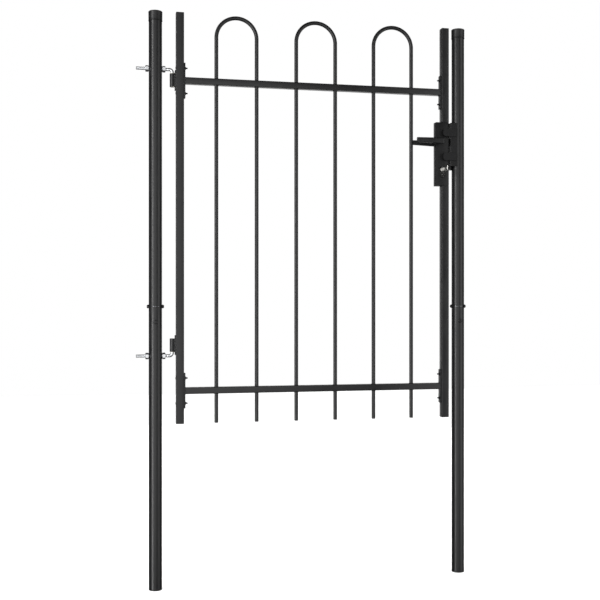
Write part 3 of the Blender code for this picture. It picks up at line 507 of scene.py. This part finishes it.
# %% [markdown]
# ## Stiles
# The stiles are 24 mm square tube, open inside, so they get a wall: up the outside, over the end, down the
# inside. Only the top of each carries a plastic plug; the foot stays open, as it does on the real leaf.

# %% Carry the stiles and their plugs
def square_tube(node, wall=0.0015, edge=0.0003):
    """Rows of rounded squares: outside from foot to top, then inside from top to foot, closed on itself."""
    low, high, middle, size = place(node)
    side, foot, top = size[0], low[2], high[2]
    bore = side - 2 * wall
    rows = [(side - 2 * edge, side - 2 * edge, 0.0016, foot), (side, side, 0.0018, foot + edge)]
    rows += [(side, side, 0.0018, top - edge), (side - 2 * edge, side - 2 * edge, 0.0016, top)]
    rows += [(bore, bore, 0.0006, top), (bore, bore, 0.0006, foot)]
    return carried(rows) + [middle[0], middle[1], 0]


for node in ("hinge_stile", "latch_stile_lower", "latch_stile_upper"):
    piece(node + "_tube", square_tube(node), powder, "leaf", [node], ring=True)
for node in ("hinge_stile_plug", "latch_stile_plug"):
    low, high, middle, size = place(node)
    side, lid = size[0], high[2] - 0.002
    steps = [(0.0045, 0.001, low[2]), (0.0037, 0.001, low[2] + 0.002), (0.0037, 0.001, lid), (0, 0.002, lid),
             (0, 0.002, lid + 0.0012), (0.0005, 0.002, lid + 0.0017), (0.0018, 0.0018, high[2])]
    rows = [(side - less, side - less, corner, level) for less, corner, level in steps]
    print(piece(node + "_moulding", carried(rows) + [middle[0], middle[1], 0], plastic, "leaf", [node]).name)


# %% [markdown]
# ## Threads and nuts
# A thread is a helix, and on a grid that is one line: the depth of the groove depends on the height divided
# by the pitch, minus the turn. A nut is a hexagon whose corners are cut by a shallow cone at both faces, so
# its radius is the smaller of the hexagon's and the cone's.

# %% Make threads and nuts
def thread_reach(radius, pitch, depth, height, turn):
    """Radius minus depth times a zigzag of (height / pitch - turn / one circle), from 0 to 1 and back."""
    phase = (height[:, None] / pitch - turn / (2 * np.pi)) % 1
    return radius - depth * np.abs(2 * phase - 1)


def nut(flat, tall, bore, sides=72):
    """Outside rows take the smaller of hexagon and 30 degree cone; the bore is countersunk at both faces."""
    turn = np.linspace(0, 2 * np.pi, sides, endpoint=False)
    hexagon = flat / np.cos((turn + np.pi / 6) % (np.pi / 3) - np.pi / 6)
    chamfer = flat * 0.12
    height = np.concatenate([np.linspace(0, chamfer, 5), np.linspace(tall - chamfer, tall, 5)])
    cone = 0.95 * flat + np.minimum(height, tall - height) / np.tan(np.pi / 6)
    outside = np.minimum(hexagon, cone[:, None])
    sink = bore * 0.14
    inside = np.repeat(np.array([bore + sink, bore, bore, bore + sink])[:, None], sides, axis=1)
    levels = np.concatenate([height, [tall, tall - sink, sink, 0]])
    return around(np.concatenate([outside, inside]), levels, turn)


def flange_bolt(head, head_rise, shank, grip, end, pitch=0.0008):
    """Low domed head below zero, plain shank up to the grip, and a helical thread from there to the end."""
    turn = np.linspace(0, 2 * np.pi, 32, endpoint=False)
    arc = np.linspace(np.pi / 2, 0, 7)
    dome = np.column_stack([head * np.cos(arc), -head_rise * np.sin(arc)])[1:]
    profile = np.array([(head * 0.1, -head_rise)] + dome.tolist() + [(shank, 0), (shank, grip)])
    height = np.arange(grip + 0.0002, end - 0.0004, pitch / 6)
    reach = thread_reach(shank, pitch, 0.0005, height, turn)
    plain = np.repeat(profile[:, :1], len(turn), axis=1)
    point = np.full((1, len(turn)), shank - 0.0008)
    levels = np.concatenate([profile[:, 1], height, [end]])
    return around(np.concatenate([plain, reach, point]), levels, turn)


print("nut grid:", nut(0.0085, 0.008, 0.005).shape)


# %% [markdown]
# ## Rail bolts
# Eight small bolts hold the rails. Each goes through the whole stile from a low head on the outside to a
# nut on the flange, with a few turns of thread left standing. They are made along X and shifted to each
# solid's box.

# %% Place the rail bolts
for rail in rails:
    for end, way in (("hinge", 1), ("latch", -1)):
        for level in ("upper", "lower"):
            node = f"{rail}_{end}_bolt_{level}"
            low, high, middle, size = place(node)
            rise, seat = 0.0012, 0.0286
            face = (low[0] if way > 0 else high[0]) + way * rise
            at = np.array([face, middle[1], middle[2]])
            mirror = np.array([way, 1, 1])
            bolt = laid(flange_bolt(size[1] / 2, rise, 0.0025, seat, size[0] - rise), "x") * mirror + at
            small = laid(nut(0.0040, 0.0024, 0.0026), "x") * mirror + at + [way * seat, 0, 0]
            piece(node + "_shank", bolt, plastic, "leaf", [node])
            piece(node + "_nut", small, plastic, "leaf", ring=True)
print("placed 8 bolts and nuts")


# %% [markdown]
# ## Weld beads
# Every fixed joint on a coated gate is a small fillet weld under the paint. A bead is a thin rope of
# overlapping drops: its radius swells and sinks a little along its length. It is what stops a bar from
# looking as if it were pushed through the rail in a drawing.

# %% Make the beads
def ring_bead(centre, radius, thick, drops, stations=72, sides=10):
    """A circle of centre line radius, whose thickness swells with the cosine of drops times the turn."""
    turn = np.linspace(0, 2 * np.pi, stations, endpoint=False)[:, None]
    round_it = np.linspace(0, 2 * np.pi, sides, endpoint=False)[None, :]
    swell = thick * (1 + 0.10 * np.cos(drops * turn))
    reach = radius + swell * np.cos(round_it)
    flat = np.stack([reach * np.cos(turn), reach * np.sin(turn), swell * np.sin(round_it) + 0 * turn],
                    axis=-1)
    return flat + centre


def line_bead(start, end, thick, drop=0.0022):
    """A straight bead with round ends: its radius is thick times (1 + a tenth of a cosine each drop)."""
    start, end = np.asarray(start, dtype=float), np.asarray(end, dtype=float)
    length = np.linalg.norm(end - start)
    run = np.linspace(0, 1, int(length / 0.0004))
    fade = np.sqrt(np.clip(1 - np.clip(np.abs(2 * run - 1) * length - length + 2 * thick, 0, None) ** 2
                           / (2 * thick) ** 2, 0.0025, 1))
    swell = thick * fade * (1 + 0.10 * np.cos(2 * np.pi * run * length / drop))
    path = start + run[:, None] * (end - start)
    return path, swell


def bead_grid(start, end, thick, sides=12):
    """The bead's circles stand square to its line, on two directions at right angles to it."""
    path, swell = line_bead(start, end, thick)
    along = (path[-1] - path[0]) / np.linalg.norm(path[-1] - path[0])
    first = np.cross(along, [0, 1, 0] if abs(along[1]) < 0.5 else [1, 0, 0])
    first /= np.linalg.norm(first)
    second = np.cross(along, first)
    turn = np.linspace(0, 2 * np.pi, sides, endpoint=False)
    round_it = np.cos(turn)[:, None] * first + np.sin(turn)[:, None] * second
    return path[:, None, :] + swell[:, None, None] * round_it[None]


uprights = [place(f"hoop_{n}")[2][0] + s * (place(f"hoop_{n}")[3][0] / 2 - bar_radius)
            for n in (1, 2, 3) for s in (-1, 1)]
for node, (low, high, middle, size) in rails.items():
    half = rail_side / 2
    beads = [ring_bead([x, 0, middle[2] + up * half], 0.0064, 0.0011, 11) for x in uprights for up in (-1, 1)]
    piece(node + "_upright_welds", beads, powder, "leaf", ring=True)
    for end, way in (("hinge", -1), ("latch", 1)):
        x = middle[0] + way * (size[0] / 2 - flange_thick)
        z, short = middle[2], half - 0.001
        seams = [bead_grid([x, -half + 0.001, z + up * half], [x, short, z + up * half], 0.0013)
                 for up in (-1, 1)]
        seams += [bead_grid([x, face * half, z - half + 0.001], [x, face * half, z + half - 0.001], 0.0011)
                  for face in (-1, 1)]
        piece(f"{node}_{end}_weld", seams, powder, "leaf")
print("welded", len(uprights), "uprights")


# %% [markdown]
# ## Hinge bolts
# Each hinge is an M10 bolt bent to an L. Its threaded leg goes right through the post between two nuts, so
# the gate can be set in or out, and its plain leg is the pin that the eye turns on. The thread has a real
# pitch of 1.5 mm. It is swept like the hoops, but its radius follows the helix until the bolt leaves the
# inner nut.

# %% Sweep the hinge bolts and turn their nuts
def hinge_bolt(node, way, bend=0.009, pitch=0.0015, depth=0.0008):
    """Way is +1 for a pin that points up. Threaded leg, quarter bend and pin, as one path in the XZ plane."""
    low, high, middle, size = place(node)
    radius = size[1] / 2
    tail, pin = low[0], high[0] - radius
    rod = low[2] + radius if way > 0 else high[2] - radius
    tip = high[2] if way > 0 else low[2]
    plain = place(node.replace("bolt", "nut_inner"))[1][0] + 0.004
    thread = np.arange(tail, plain, pitch / 6)
    turn = np.linspace(-np.pi / 2, 0, 13)
    corner = np.array([pin - bend, rod + way * bend])
    bent = np.column_stack([corner[0] + bend * np.cos(turn), corner[1] + way * bend * np.sin(turn)])
    leg = [(pin, tip - way * 0.0012), (pin, tip)]
    flat = np.concatenate([np.column_stack([thread, np.full(len(thread), rod)]), bent, leg])
    path = np.column_stack([flat[:, 0], np.zeros(len(flat)), flat[:, 1]])
    circle = np.linspace(0, 2 * np.pi, 32, endpoint=False)
    reach = np.full((len(flat), 32), radius)
    reach[:len(thread)] = thread_reach(radius, pitch, depth, thread, circle)
    reach[-1] -= 0.0012
    ends = np.clip(radius - 0.0014 + (thread - tail) * 1.2, 0, radius)
    reach[:len(thread)] = np.minimum(reach[:len(thread)], ends[:, None])
    return swept(path, reach * np.cos(circle), reach * np.sin(circle))


for level, way in (("top", -1), ("bottom", 1)):
    node = level + "_hinge_bolt"
    made = piece(node + "_rod", hinge_bolt(node, way), zinc, "root", [node], sharp=50)
    for end in ("outer", "inner"):
        node = f"{level}_hinge_nut_{end}"
        low, high, middle, size = place(node)
        shape = laid(nut(size[1] / 2, size[0], 0.0051), "x") + [low[0], middle[1], middle[2]]
        piece(node + "_hexagon", shape, zinc, "root", [node], ring=True)
    print(made.name, len(made.data.polygons), "faces")


# %% [markdown]
# ## Hinge eyes
# The eye is a short thick tube welded to a flat plate, and the plate is welded to the stile. A nylon bush
# with a collar sits in it and carries the leaf on the pin. The tube gets its real wall and broken edges,
# and two beads run up the corners where it meets the plate.

# %% Turn the eyes and carry their plates
def wall_ring(outer, inner, foot, top, edge=0.0005):
    """The section of a thick tube with all four corners broken, turned round Z."""
    profile = [(inner + edge, foot), (outer - edge, foot), (outer, foot + edge), (outer, top - edge)]
    profile += [(outer - edge, top), (inner + edge, top), (inner, top - edge), (inner, foot + edge)]
    return turned(profile, 64)


pin_x = place("top_hinge_bolt")[1][0] - place("top_hinge_bolt")[3][1] / 2
plate_thick, eye_long, eye_bore = 0.003, 0.040, 0.0066
for level in ("top", "bottom"):
    node = level + "_hinge_eye"
    low, high, middle, size = place(node)
    barrel = pin_x - low[0]
    face = high[0] - plate_thick
    tube = wall_ring(barrel, eye_bore, -eye_long / 2, eye_long / 2) + [pin_x, 0, middle[2]]
    piece(node + "_barrel", tube, powder, "leaf", [node], ring=True)
    strip = laid(carried(bar(size[1], size[2], 0.0022, face, high[0], 0.0005)), "x") + [0, 0, middle[2]]
    piece(node + "_plate", strip, powder, "leaf")
    runs = [(face - 0.0006, 0.0058, 0.018, 0.0019), (high[0] - 0.0006, size[1] / 2, 0.026, 0.0011)]
    welds = [bead_grid([x, s * y, middle[2] - reach], [x, s * y, middle[2] + reach], thick)
             for x, y, reach, thick in runs for s in (-1, 1)]
    piece(node + "_welds", welds, powder, "leaf")
    print(node, "barrel radius in mm:", round(barrel * 1000, 2))


# %% [markdown]
# ## Solids that are right as they are
# The lock works, the keeper and the cylinder already have the right shape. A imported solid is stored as
# loose triangles, so its round parts look faceted. A welded copy shares its corners, and can then be shaded
# smooth where neighbouring faces turn by less than a set angle.

# %% Weld and smooth a solid's own surface
def smoothed(node, finish, body, sharp=35):
    """Corners that agree to a hundredth of a millimetre become one, and triangles keep their order."""
    source = frame["nodes"][node].data
    points = np.empty(len(source.vertices) * 3)
    source.vertices.foreach_get("co", points)
    corners = np.empty(len(source.loops), dtype=int)
    source.loops.foreach_get("vertex_index", corners)
    grid = np.round(points.reshape(-1, 3), 5)
    shared, number = np.unique(grid, axis=0, return_inverse=True)
    faces = number.ravel()[corners].reshape(-1, 3)
    whole = (faces[:, 0] != faces[:, 1]) & (faces[:, 1] != faces[:, 2]) & (faces[:, 0] != faces[:, 2])
    mesh = bpy.data.meshes.new(node + "_smooth")
    mesh.from_pydata(shared, [], faces[whole].tolist())
    return dressed(node + "_smooth", mesh, finish, body, [node], sharp)


# The keeper takes the darker coat, which is painted shade.
for node, finish, body in (("keeper", shade_darkened_coat, "root"), ("top_hinge_bush", nylon, "leaf"),
                           ("bottom_hinge_bush", nylon, "leaf"), ("return_spring", steel, "leaf"),
                           ("follower", steel, "handle"), ("cylinder_body", polished, "leaf"),
                           ("cylinder_plug", nickel, "plug"), ("cylinder_screw", zinc, "leaf"),
                           ("latch_bolt", nickel, "latch"), ("hinge_post_sleeve", steel, "root"),
                           ("latch_post_sleeve", steel, "root")):
    made = smoothed(node, finish, body)
    print(made.name, len(made.data.polygons), "triangles")


# %% [markdown]
# ## Lock box
# The lock sits in a welded steel housing that takes the place of a length of stile. It is open at the latch
# edge, where the lock's forend fills the mouth, and it has real holes for the lever necks and the cylinder.
# Those pieces turn, so the finished housing keeps the holes of its solid, with their clearance, and gets
# smooth shading.

# %% Smooth the lock box
low, high, middle, size = place("lock_box")
# The housing and its welds take the darker coat, which is painted shade.
smoothed("lock_box", shade_darkened_coat, "leaf")
weld_start, weld_long, face = high[0] - 0.0215, 0.019, size[1] / 2 - 0.0006
seam = [bead_grid([weld_start, s * face, z], [weld_start + weld_long, s * face, z], 0.0007)
        for s in (-1, 1) for z in (low[2] + 0.0001, high[2] - 0.0001)]
piece("lock_box_welds", seam, shade_darkened_coat, "leaf")
print("lock box in mm:", (size * 1000).round(1))


# %% [markdown]
# ## Levers
# A lever is a tapered bar with soft edges on a round neck. Its sections are rounded rectangles whose
# height, depth and centre change evenly from the hub to the tip, and the ends close along a quarter circle.
# Softening the edges this way costs nothing on a grid, and gives the long highlight along the top of the
# bar.

# %% Carry the levers
def lever_bar(node, side, hub_tall=0.0198, tip_tall=0.0150, edge=0.0028):
    """Share s runs from 0 at the hub to 1 at the tip: height, depth and centre are straight lines in s."""
    low, high, middle, size = place(node)
    hub, tip = high[0], low[0]
    hub_deep, thinning, rise = 0.0090, 0.0008, 0.0012
    turn = np.linspace(0, np.pi / 2, 5)
    inset, along = edge * (1 - np.sin(turn)), edge * (1 - np.cos(turn))
    x = np.concatenate([hub - along, np.linspace(hub, tip, 14)[1:-1], (tip + along)[::-1]])
    shrink = np.concatenate([inset, np.zeros(12), inset[::-1]])
    share = (hub - x) / (hub - tip)
    tall = hub_tall + (tip_tall - hub_tall) * share
    deep = hub_deep - thinning * share
    centre = rise * share
    rows = [(d - 2 * s, t - 2 * s, 0.0034 - 0.6 * s, level) for d, t, s, level in zip(deep, tall, shrink, x)]
    out = side * (max(abs(low[1]), abs(high[1])) - hub_deep / 2)
    shape = laid(carried(rows), "x")
    shape[..., 2] += spindle_z + centre[:, None]
    shape[..., 1] += out
    return shape


spindle_z = place("spindle")[2][2]
spindle_x = place("spindle")[2][0]
for node, side in (("front_lever", -1), ("rear_lever", 1)):
    low, high, middle, size = place(node)
    piece(node + "_bar", lever_bar(node, side), powder, "handle", [node])
    near = min(abs(low[1]), abs(high[1]))
    far = max(abs(low[1]), abs(high[1])) - 0.0060
    neck = [(0.0060, near), (0.0068, near + 0.0005), (0.0070, near + 0.0010), (0.0070, far - 0.0050)]
    neck += [(0.0073, far - 0.0034), (0.0080, far - 0.0018), (0.0088, far - 0.0006), (0.0040, far)]
    shape = laid(turned(neck, 48), "y") * [1, side, 1] + [spindle_x, 0, spindle_z]
    piece(node + "_neck", shape, powder, "handle")
    print(node, "reach in mm:", round((spindle_x - low[0]) * 1000, 1))


# %% [markdown]
# ## Key
# The key is a flat blank. Its bow is a rounded plate with a hole for a ring, made as rows that go from the
# hole to the outline, over the edge and back. The blade is a bar whose upper side is cut in steps, so its
# section loses height where a cut is: a smooth step between two depths is a ramp held between 0 and 1.

# %% Make the key
def bow_plate(middle_y, middle_z, length, tall, thick, hole, hole_y, edge=0.0004):
    """Pairs each outline point with the hole's point in the same direction, and breaks both edges."""
    rim = outline(length, tall, 0.0065, 9) + [middle_y, middle_z]
    from_hole = rim - [hole_y, middle_z]
    angle = np.arctan2(from_hole[:, 1], from_hole[:, 0])
    facing = np.column_stack([np.cos(angle), np.sin(angle)])
    inward = (rim - [middle_y, middle_z]) / np.linalg.norm(rim - [middle_y, middle_z], axis=1, keepdims=True)
    circle = np.array([hole_y, middle_z]) + hole * facing
    rows = [(circle + edge * facing, -thick), (rim - edge * inward, -thick), (rim, edge - thick),
            (rim, thick - edge), (rim - edge * inward, thick), (circle + edge * facing, thick),
            (circle, thick - edge), (circle, edge - thick)]
    return np.array([np.column_stack([np.full(len(flat), x), flat]) for flat, x in rows])


low, high, middle, size = place("key")
half, bow_long = size[0] / 2, 0.025
bow_y = low[1] + bow_long / 2
shape = bow_plate(bow_y, middle[2], bow_long, size[2], half, 0.0028, low[1] + 0.006) + [middle[0], 0, 0]
piece("key_bow", shape, nickel, "key", ["key"], ring=True)
y = np.linspace(low[1] + bow_long - 0.001, high[1], 160)
blade_tall = 0.0078
steps = np.array([0.0010, 0.0022, 0.0006, 0.0018, 0.0012])
first_pin, pin_step, cut_half, tip_long = 0.0055, 0.0040, 0.0010, 0.004
pins = high[1] - first_pin - pin_step * np.arange(5)
cuts = np.clip(1.6 - np.abs(y[:, None] - pins) / cut_half, 0, 1) * steps
tip = np.clip((y - high[1] + tip_long) / tip_long, 0, 1)
upper = blade_tall / 2 - np.maximum(cuts.max(axis=1), 0.0022 * tip)
lower = -blade_tall / 2 + 0.0030 * tip
blade = carried([(2 * half, t - f, 0.0003, level) for t, f, level in zip(upper, lower, y)])
blade = blade[..., [0, 2, 1]] + [middle[0], 0, middle[2]]
blade[..., 2] += ((upper + lower) / 2)[:, None]
piece("key_blade", blade, nickel, "key")
print("key length in mm:", round(size[1] * 1000, 1))


# %% [markdown]
# ## Finishes on the solids that stay
# Some small inner solids keep their own surface. Each one still needs its real finish, so every shown solid
# takes the material that its slot in the record names.

# %% Give each remaining solid its finish
slots = {entry["node"]: entry["material_slot"] for entry in frame["record"]["subparts"]}
for node, solid in frame["nodes"].items():
    for number in range(max(1, len(solid.material_slots))):
        if not solid.material_slots:
            solid.data.materials.append(None)
        solid.material_slots[number].material = finish_of_slot[slots[node]]
print("finished", len(slots), "solids")


# %% [markdown]
# ## Floor and background
# A product picture of a dark gate needs a pale, even surround. The floor is a large plain plane, and the
# world is white where the camera looks straight at it and nearly dark where it lights the gate. The dark
# matters: if the whole surround were bright, every black tube would get white edges. For the same reason
# the gate doesn't see the floor in its reflections, as if it stood on a low plinth.

# %% Lay the floor and light the background
floor_finish = bpy.data.materials.new("pale_studio_floor")
floor_finish.use_nodes = True
floor_shader = floor_finish.node_tree.nodes["Principled BSDF"]
floor_shader.inputs["Base Color"].default_value = light_of("#f4f4f4")
floor_shader.inputs["Roughness"].default_value = 0.9
reach = 6.0
floor_mesh = bpy.data.meshes.new("studio_floor")
corners = np.array([[-1, -1], [1, -1], [1, 1], [-1, 1]]) * reach
floor_mesh.from_pydata(np.column_stack([corners, np.full(4, solid_box[0][2] - 0.0005)]), [], [[0, 1, 2, 3]])
floor_mesh.materials.append(floor_finish)
floor = bpy.data.objects.new("studio_floor", floor_mesh)
bpy.context.scene.collection.objects.link(floor)
floor.visible_glossy = False
floor.visible_diffuse = False
floor.visible_shadow = False

world = bpy.data.worlds.new("studio")
bpy.context.scene.world = world
world.use_nodes = True
tree = world.node_tree
lamp = tree.nodes["Background"]
lamp.inputs["Color"].default_value = light_of("#ffffff")
seen = add(tree, "ShaderNodeLightPath")
white, grey = 1.0, 0.02
level = add(tree, "ShaderNodeMapRange", {0: seen.outputs["Is Camera Ray"], 3: grey, 4: white})
tree.links.new(level.outputs[0], lamp.inputs["Strength"])
print("floor half width in m:", reach)


# %% [markdown]
# ## Lights
# Tall soft boxes stand round the gate. A narrow one at the left draws the bright stripe down each tube. Two
# broad dim ones, beside the camera and to its right, make the even grey of the fronts, and one behind the
# gate does the same for the back. A round tube shows its surroundings squeezed sideways, so where a box
# begins and ends decides where the grey on the tube begins and ends. Brightness is set by watts for each
# square metre of the box.

# %% Place the soft boxes
eye = np.array([-0.632, -2.900, 0.873])
heading = -np.radians(11.596)
centre = np.array([0.0, 0.0, 0.9])


def beside_camera(turn, distance):
    """A place at an angle in degrees to the right of the camera, seen from the gate."""
    angle = heading + np.radians(turn)
    return centre + [distance * np.sin(angle), -distance * np.cos(angle), 0]


def soft_box(name, turn, distance, wide, tall, watts_per_square_metre):
    """An upright area light that faces the gate and isn't itself seen."""
    data = bpy.data.lights.new(name, "AREA")
    data.shape = "RECTANGLE"
    data.size, data.size_y = wide, tall
    data.energy = watts_per_square_metre * wide * tall
    made = bpy.data.objects.new(name, data)
    made.location = beside_camera(turn, distance)
    made.rotation_euler = (np.pi / 2, 0, heading + np.radians(turn))
    made.visible_camera = False
    bpy.context.scene.collection.objects.link(made)
    return made


tall = 4.0
boxes = [soft_box("stripe_light", -47, 3.0, 0.7, tall, 28.0),
         soft_box("front_light", -4, 3.6, 3.8, tall, 3.8),
         soft_box("right_light", 66, 3.2, 2.4, tall, 4.6),
         soft_box("back_light", 178, 3.6, 4.2, tall, 3.6)]
print("lights:", [light.name for light in boxes])


# %% [markdown]
# ## Light on the floor alone
# The floor has to be white without brightening the gate. A very wide sun gives it the same light
# everywhere, with shadows too soft to notice, and light linking keeps that sun off everything but the
# floor.

# %% Light the floor
floor_sun_data = bpy.data.lights.new("floor_sun", "SUN")
floor_sun_data.energy = 4.2
floor_sun_data.angle = np.radians(120)
floor_sun = bpy.data.objects.new("floor_sun", floor_sun_data)
bpy.context.scene.collection.objects.link(floor_sun)
lit_by_sun = bpy.data.collections.new("lit_by_floor_sun")
lit_by_sun.objects.link(floor)
floor_sun.light_linking.receiver_collection = lit_by_sun


# %% [markdown]
# ## Camera
# The picture is taken at waist height and level, from a little to the left of the hinge post, which
# is why the hinge side looks taller than the latch side. A level camera keeps the posts upright. The plain
# view transform is used because it keeps pure white white, which a filmic curve would turn grey.

# %% Set the camera
camera_data = bpy.data.cameras.new("gate_camera")
camera_data.sensor_width = 36
camera_data.lens = 56.86
camera_data.shift_y = 0.00175
camera = bpy.data.objects.new("gate_camera", camera_data)
camera.location = eye
camera.rotation_euler = (np.pi / 2, 0, heading)
bpy.context.scene.collection.objects.link(camera)
bpy.context.scene.camera = camera
bpy.context.scene.view_settings.view_transform = "Standard"
print("camera distance in m:", round(float(np.linalg.norm(eye)), 3))
